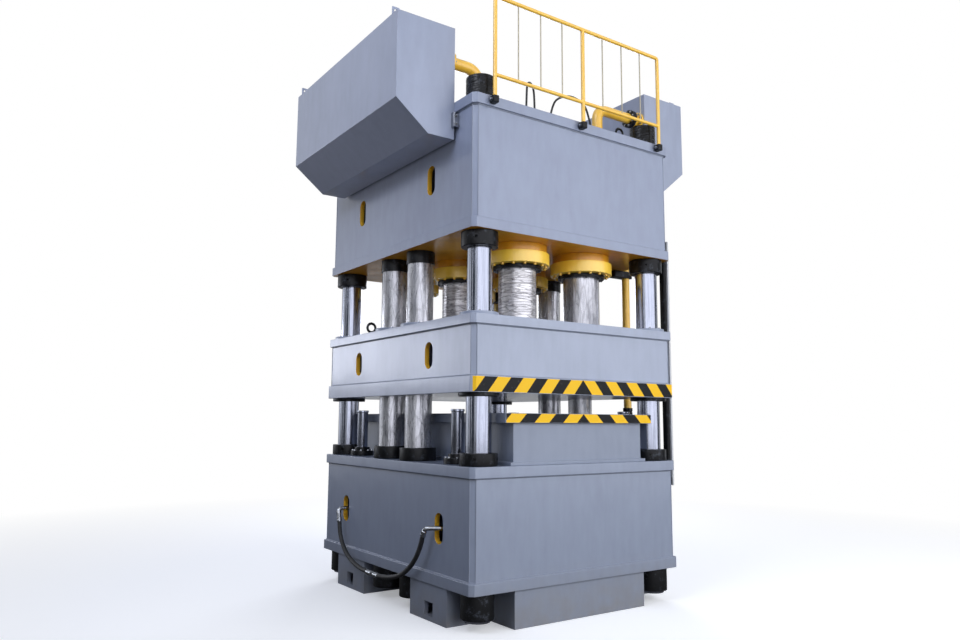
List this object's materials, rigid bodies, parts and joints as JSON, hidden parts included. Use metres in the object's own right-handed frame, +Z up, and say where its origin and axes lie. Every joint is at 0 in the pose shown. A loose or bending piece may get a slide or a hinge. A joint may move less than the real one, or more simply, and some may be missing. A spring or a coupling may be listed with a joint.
{
  "type": "hydraulic press",
  "caption": "column hydraulic press with a plate-built bed, guided slide and crown, wrapped plungers, round column nuts, levelling cylinders, side oil tanks and a guard rail",
  "frame": {"origin": "on the floor, at the middle of the pattern of columns", "axes": "+Z up, -Y to the face with the striped edges and the guard rail, -X to the side with the hose"},
  "size_m": [3.8606, 3.175, 5.819],
  "materials": {
    "machine_grey": "semi-gloss enamel with rolled-on texture",
    "table_steel": "semi-gloss enamel over planed steel",
    "shadow_black": "gloss enamel, lightly oiled",
    "chrome": "ground and hard chromed",
    "wrapped_steel": "ground steel in clear stretch film",
    "signal_yellow": "gloss enamel",
    "hose_rubber": "matt cover"
  },
  "bodies": {
    "frame": {"pedestal": "machine_grey", "bed": "machine_grey", "bolster_body": "machine_grey", "bolster_plate": "table_steel", "crown": "machine_grey", "column_front_left": "chrome", "column_front_right": "chrome", "column_rear_left": "chrome", "column_rear_right": "chrome", "upper_collar_front_left": "shadow_black", "upper_collar_front_right": "shadow_black", "upper_collar_rear_left": "shadow_black", "upper_collar_rear_right": "shadow_black", "lower_collar_front_left": "shadow_black", "lower_collar_front_right": "shadow_black", "lower_collar_rear_left": "shadow_black", "lower_collar_rear_right": "shadow_black", "mid_column_front_left": "wrapped_steel", "mid_column_front_right": "wrapped_steel", "mid_column_rear_left": "wrapped_steel", "mid_column_rear_right": "wrapped_steel", "main_cylinder_front_left": "signal_yellow", "main_cylinder_front_right": "signal_yellow", "main_cylinder_middle_left": "signal_yellow", "main_cylinder_middle_right": "signal_yellow", "main_cylinder_rear_left": "signal_yellow", "main_cylinder_rear_right": "signal_yellow", "levelling_barrel_front_left": "shadow_black", "levelling_barrel_front_right": "shadow_black", "levelling_barrel_rear_left": "shadow_black", "levelling_barrel_rear_right": "shadow_black", "oil_tank_left": "machine_grey", "oil_tank_right": "machine_grey", "tank_pipe_left": "signal_yellow", "tank_pipe_right": "signal_yellow", "fill_pipe": "signal_yellow", "switch_post": "machine_grey", "guard_rail": "signal_yellow", "hose": "hose_rubber", "hose_fitting_front": "chrome", "hose_fitting_rear": "chrome", "crown_hose_hairpin": "hose_rubber", "crown_hose_arch": "hose_rubber"},
    "slide": {"slide": "machine_grey", "wiper_ring_front_left": "shadow_black", "wiper_ring_front_right": "shadow_black", "wiper_ring_rear_left": "shadow_black", "wiper_ring_rear_right": "shadow_black", "plunger_front_left": "wrapped_steel", "plunger_front_right": "wrapped_steel", "plunger_middle_left": "wrapped_steel", "plunger_middle_right": "wrapped_steel", "plunger_rear_left": "wrapped_steel", "plunger_rear_right": "wrapped_steel"},
    "levelling_rod_front_left": {"levelling_rod_front_left": "chrome"},
    "levelling_rod_front_right": {"levelling_rod_front_right": "chrome"},
    "levelling_rod_rear_left": {"levelling_rod_rear_left": "chrome"},
    "levelling_rod_rear_right": {"levelling_rod_rear_right": "chrome"}
  },
  "joints": [
    {"name": "slide_travel", "type": "slide", "parent": "frame", "child": "slide", "axis": [0, 0, 1], "range_m": [-0.14, 0.45]},
    {"name": "levelling_front_left", "type": "slide", "parent": "frame", "child": "levelling_rod_front_left", "axis": [0, 0, 1], "range_m": [-0.25, 0]},
    {"name": "levelling_front_right", "type": "slide", "parent": "frame", "child": "levelling_rod_front_right", "axis": [0, 0, 1], "range_m": [-0.25, 0]},
    {"name": "levelling_rear_left", "type": "slide", "parent": "frame", "child": "levelling_rod_rear_left", "axis": [0, 0, 1], "range_m": [-0.25, 0]},
    {"name": "levelling_rear_right", "type": "slide", "parent": "frame", "child": "levelling_rod_rear_right", "axis": [0, 0, 1], "range_m": [-0.25, 0]}
  ]
}
